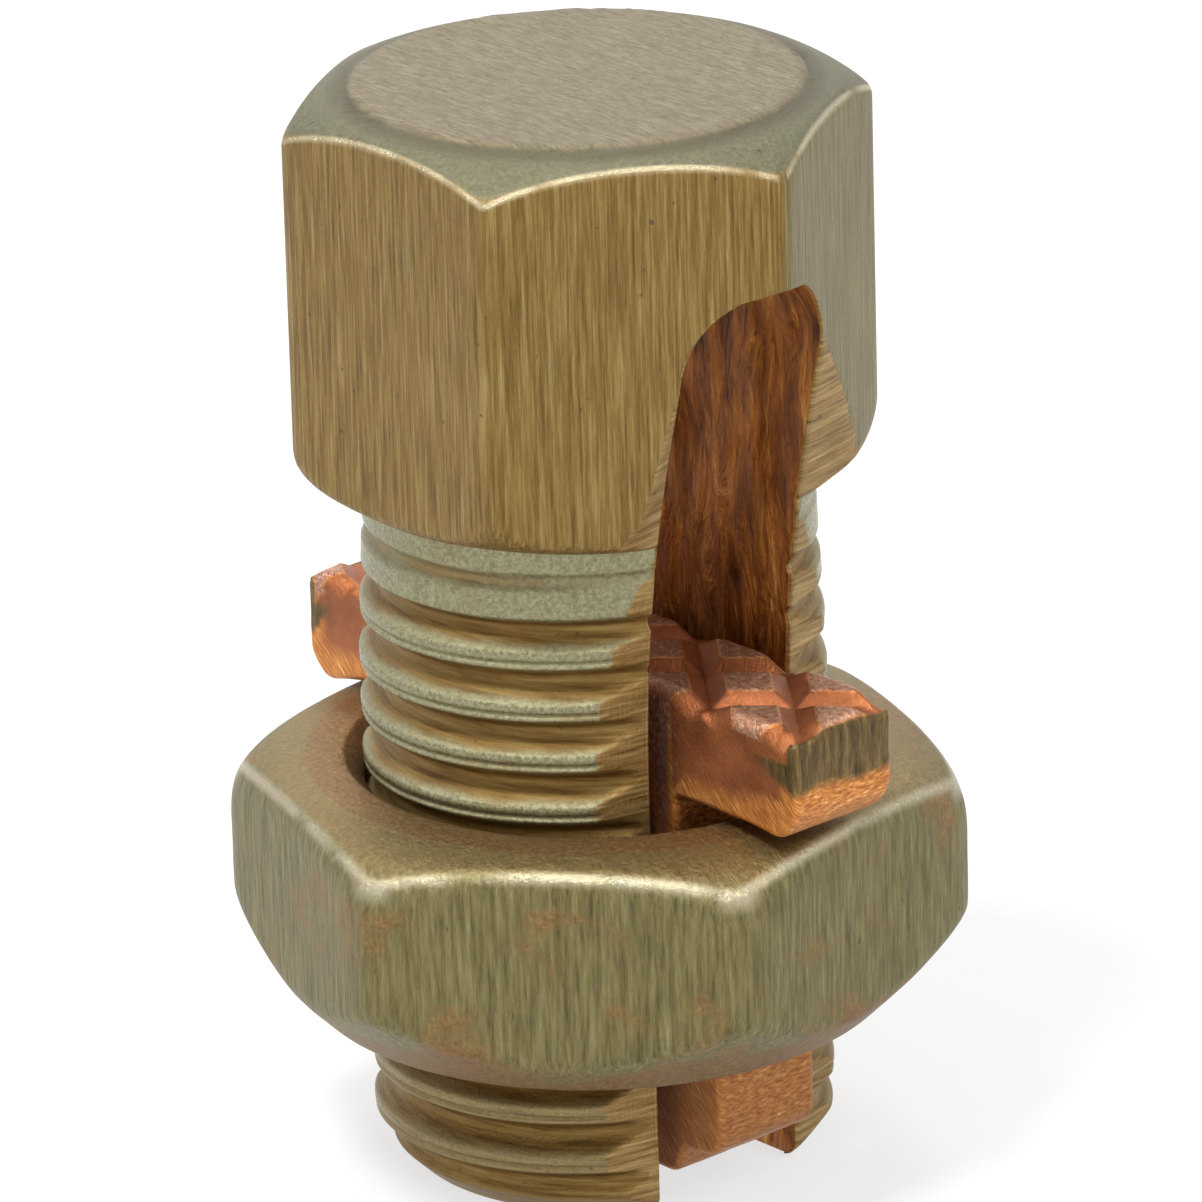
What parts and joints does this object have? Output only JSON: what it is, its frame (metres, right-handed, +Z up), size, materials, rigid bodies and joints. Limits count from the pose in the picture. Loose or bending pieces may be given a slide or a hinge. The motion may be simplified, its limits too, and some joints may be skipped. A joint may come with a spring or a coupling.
{
  "type": "split bolt connector",
  "caption": "Slotted hex-head bolt with a captive pressure bar and hex nut, which clamps wires laid in the slot.",
  "frame": {"origin": "on the bolt's axis, at the plane of the leg ends that it stands on", "axes": "+Z up the bolt to the head's top, +X along the slot, the way a conductor lies; the two legs are at +Y and -Y"},
  "size_m": [0.0174, 0.0176, 0.0268],
  "materials": {
    "bolt_bronze": "drawn bronze, dulled and lightly stained",
    "nut_bronze": "turned bronze with an olive-green patina",
    "bar_copper": "scuffed reddish copper alloy"
  },
  "bodies": {
    "bolt": {"bolt": "bolt_bronze"},
    "bar": {"pressure_bar": "bar_copper"},
    "nut": {"nut": "nut_bronze"}
  },
  "joints": [
    {"name": "bar_slide", "type": "slide", "parent": "bolt", "child": "bar", "axis": [0, 0, 1], "range_m": [-0.00762, 0.00677]},
    {"name": "nut_turn", "type": "hinge", "parent": "bar", "child": "nut", "pos_m": [0, 0, 0.0071], "axis": [0, 0, 1], "range_deg": [-2161, 1921]}
  ],
  "couplings": [
    {"joint": "nut_turn", "follows": "bar_slide", "rad_per_m": 4947.4}
  ]
}
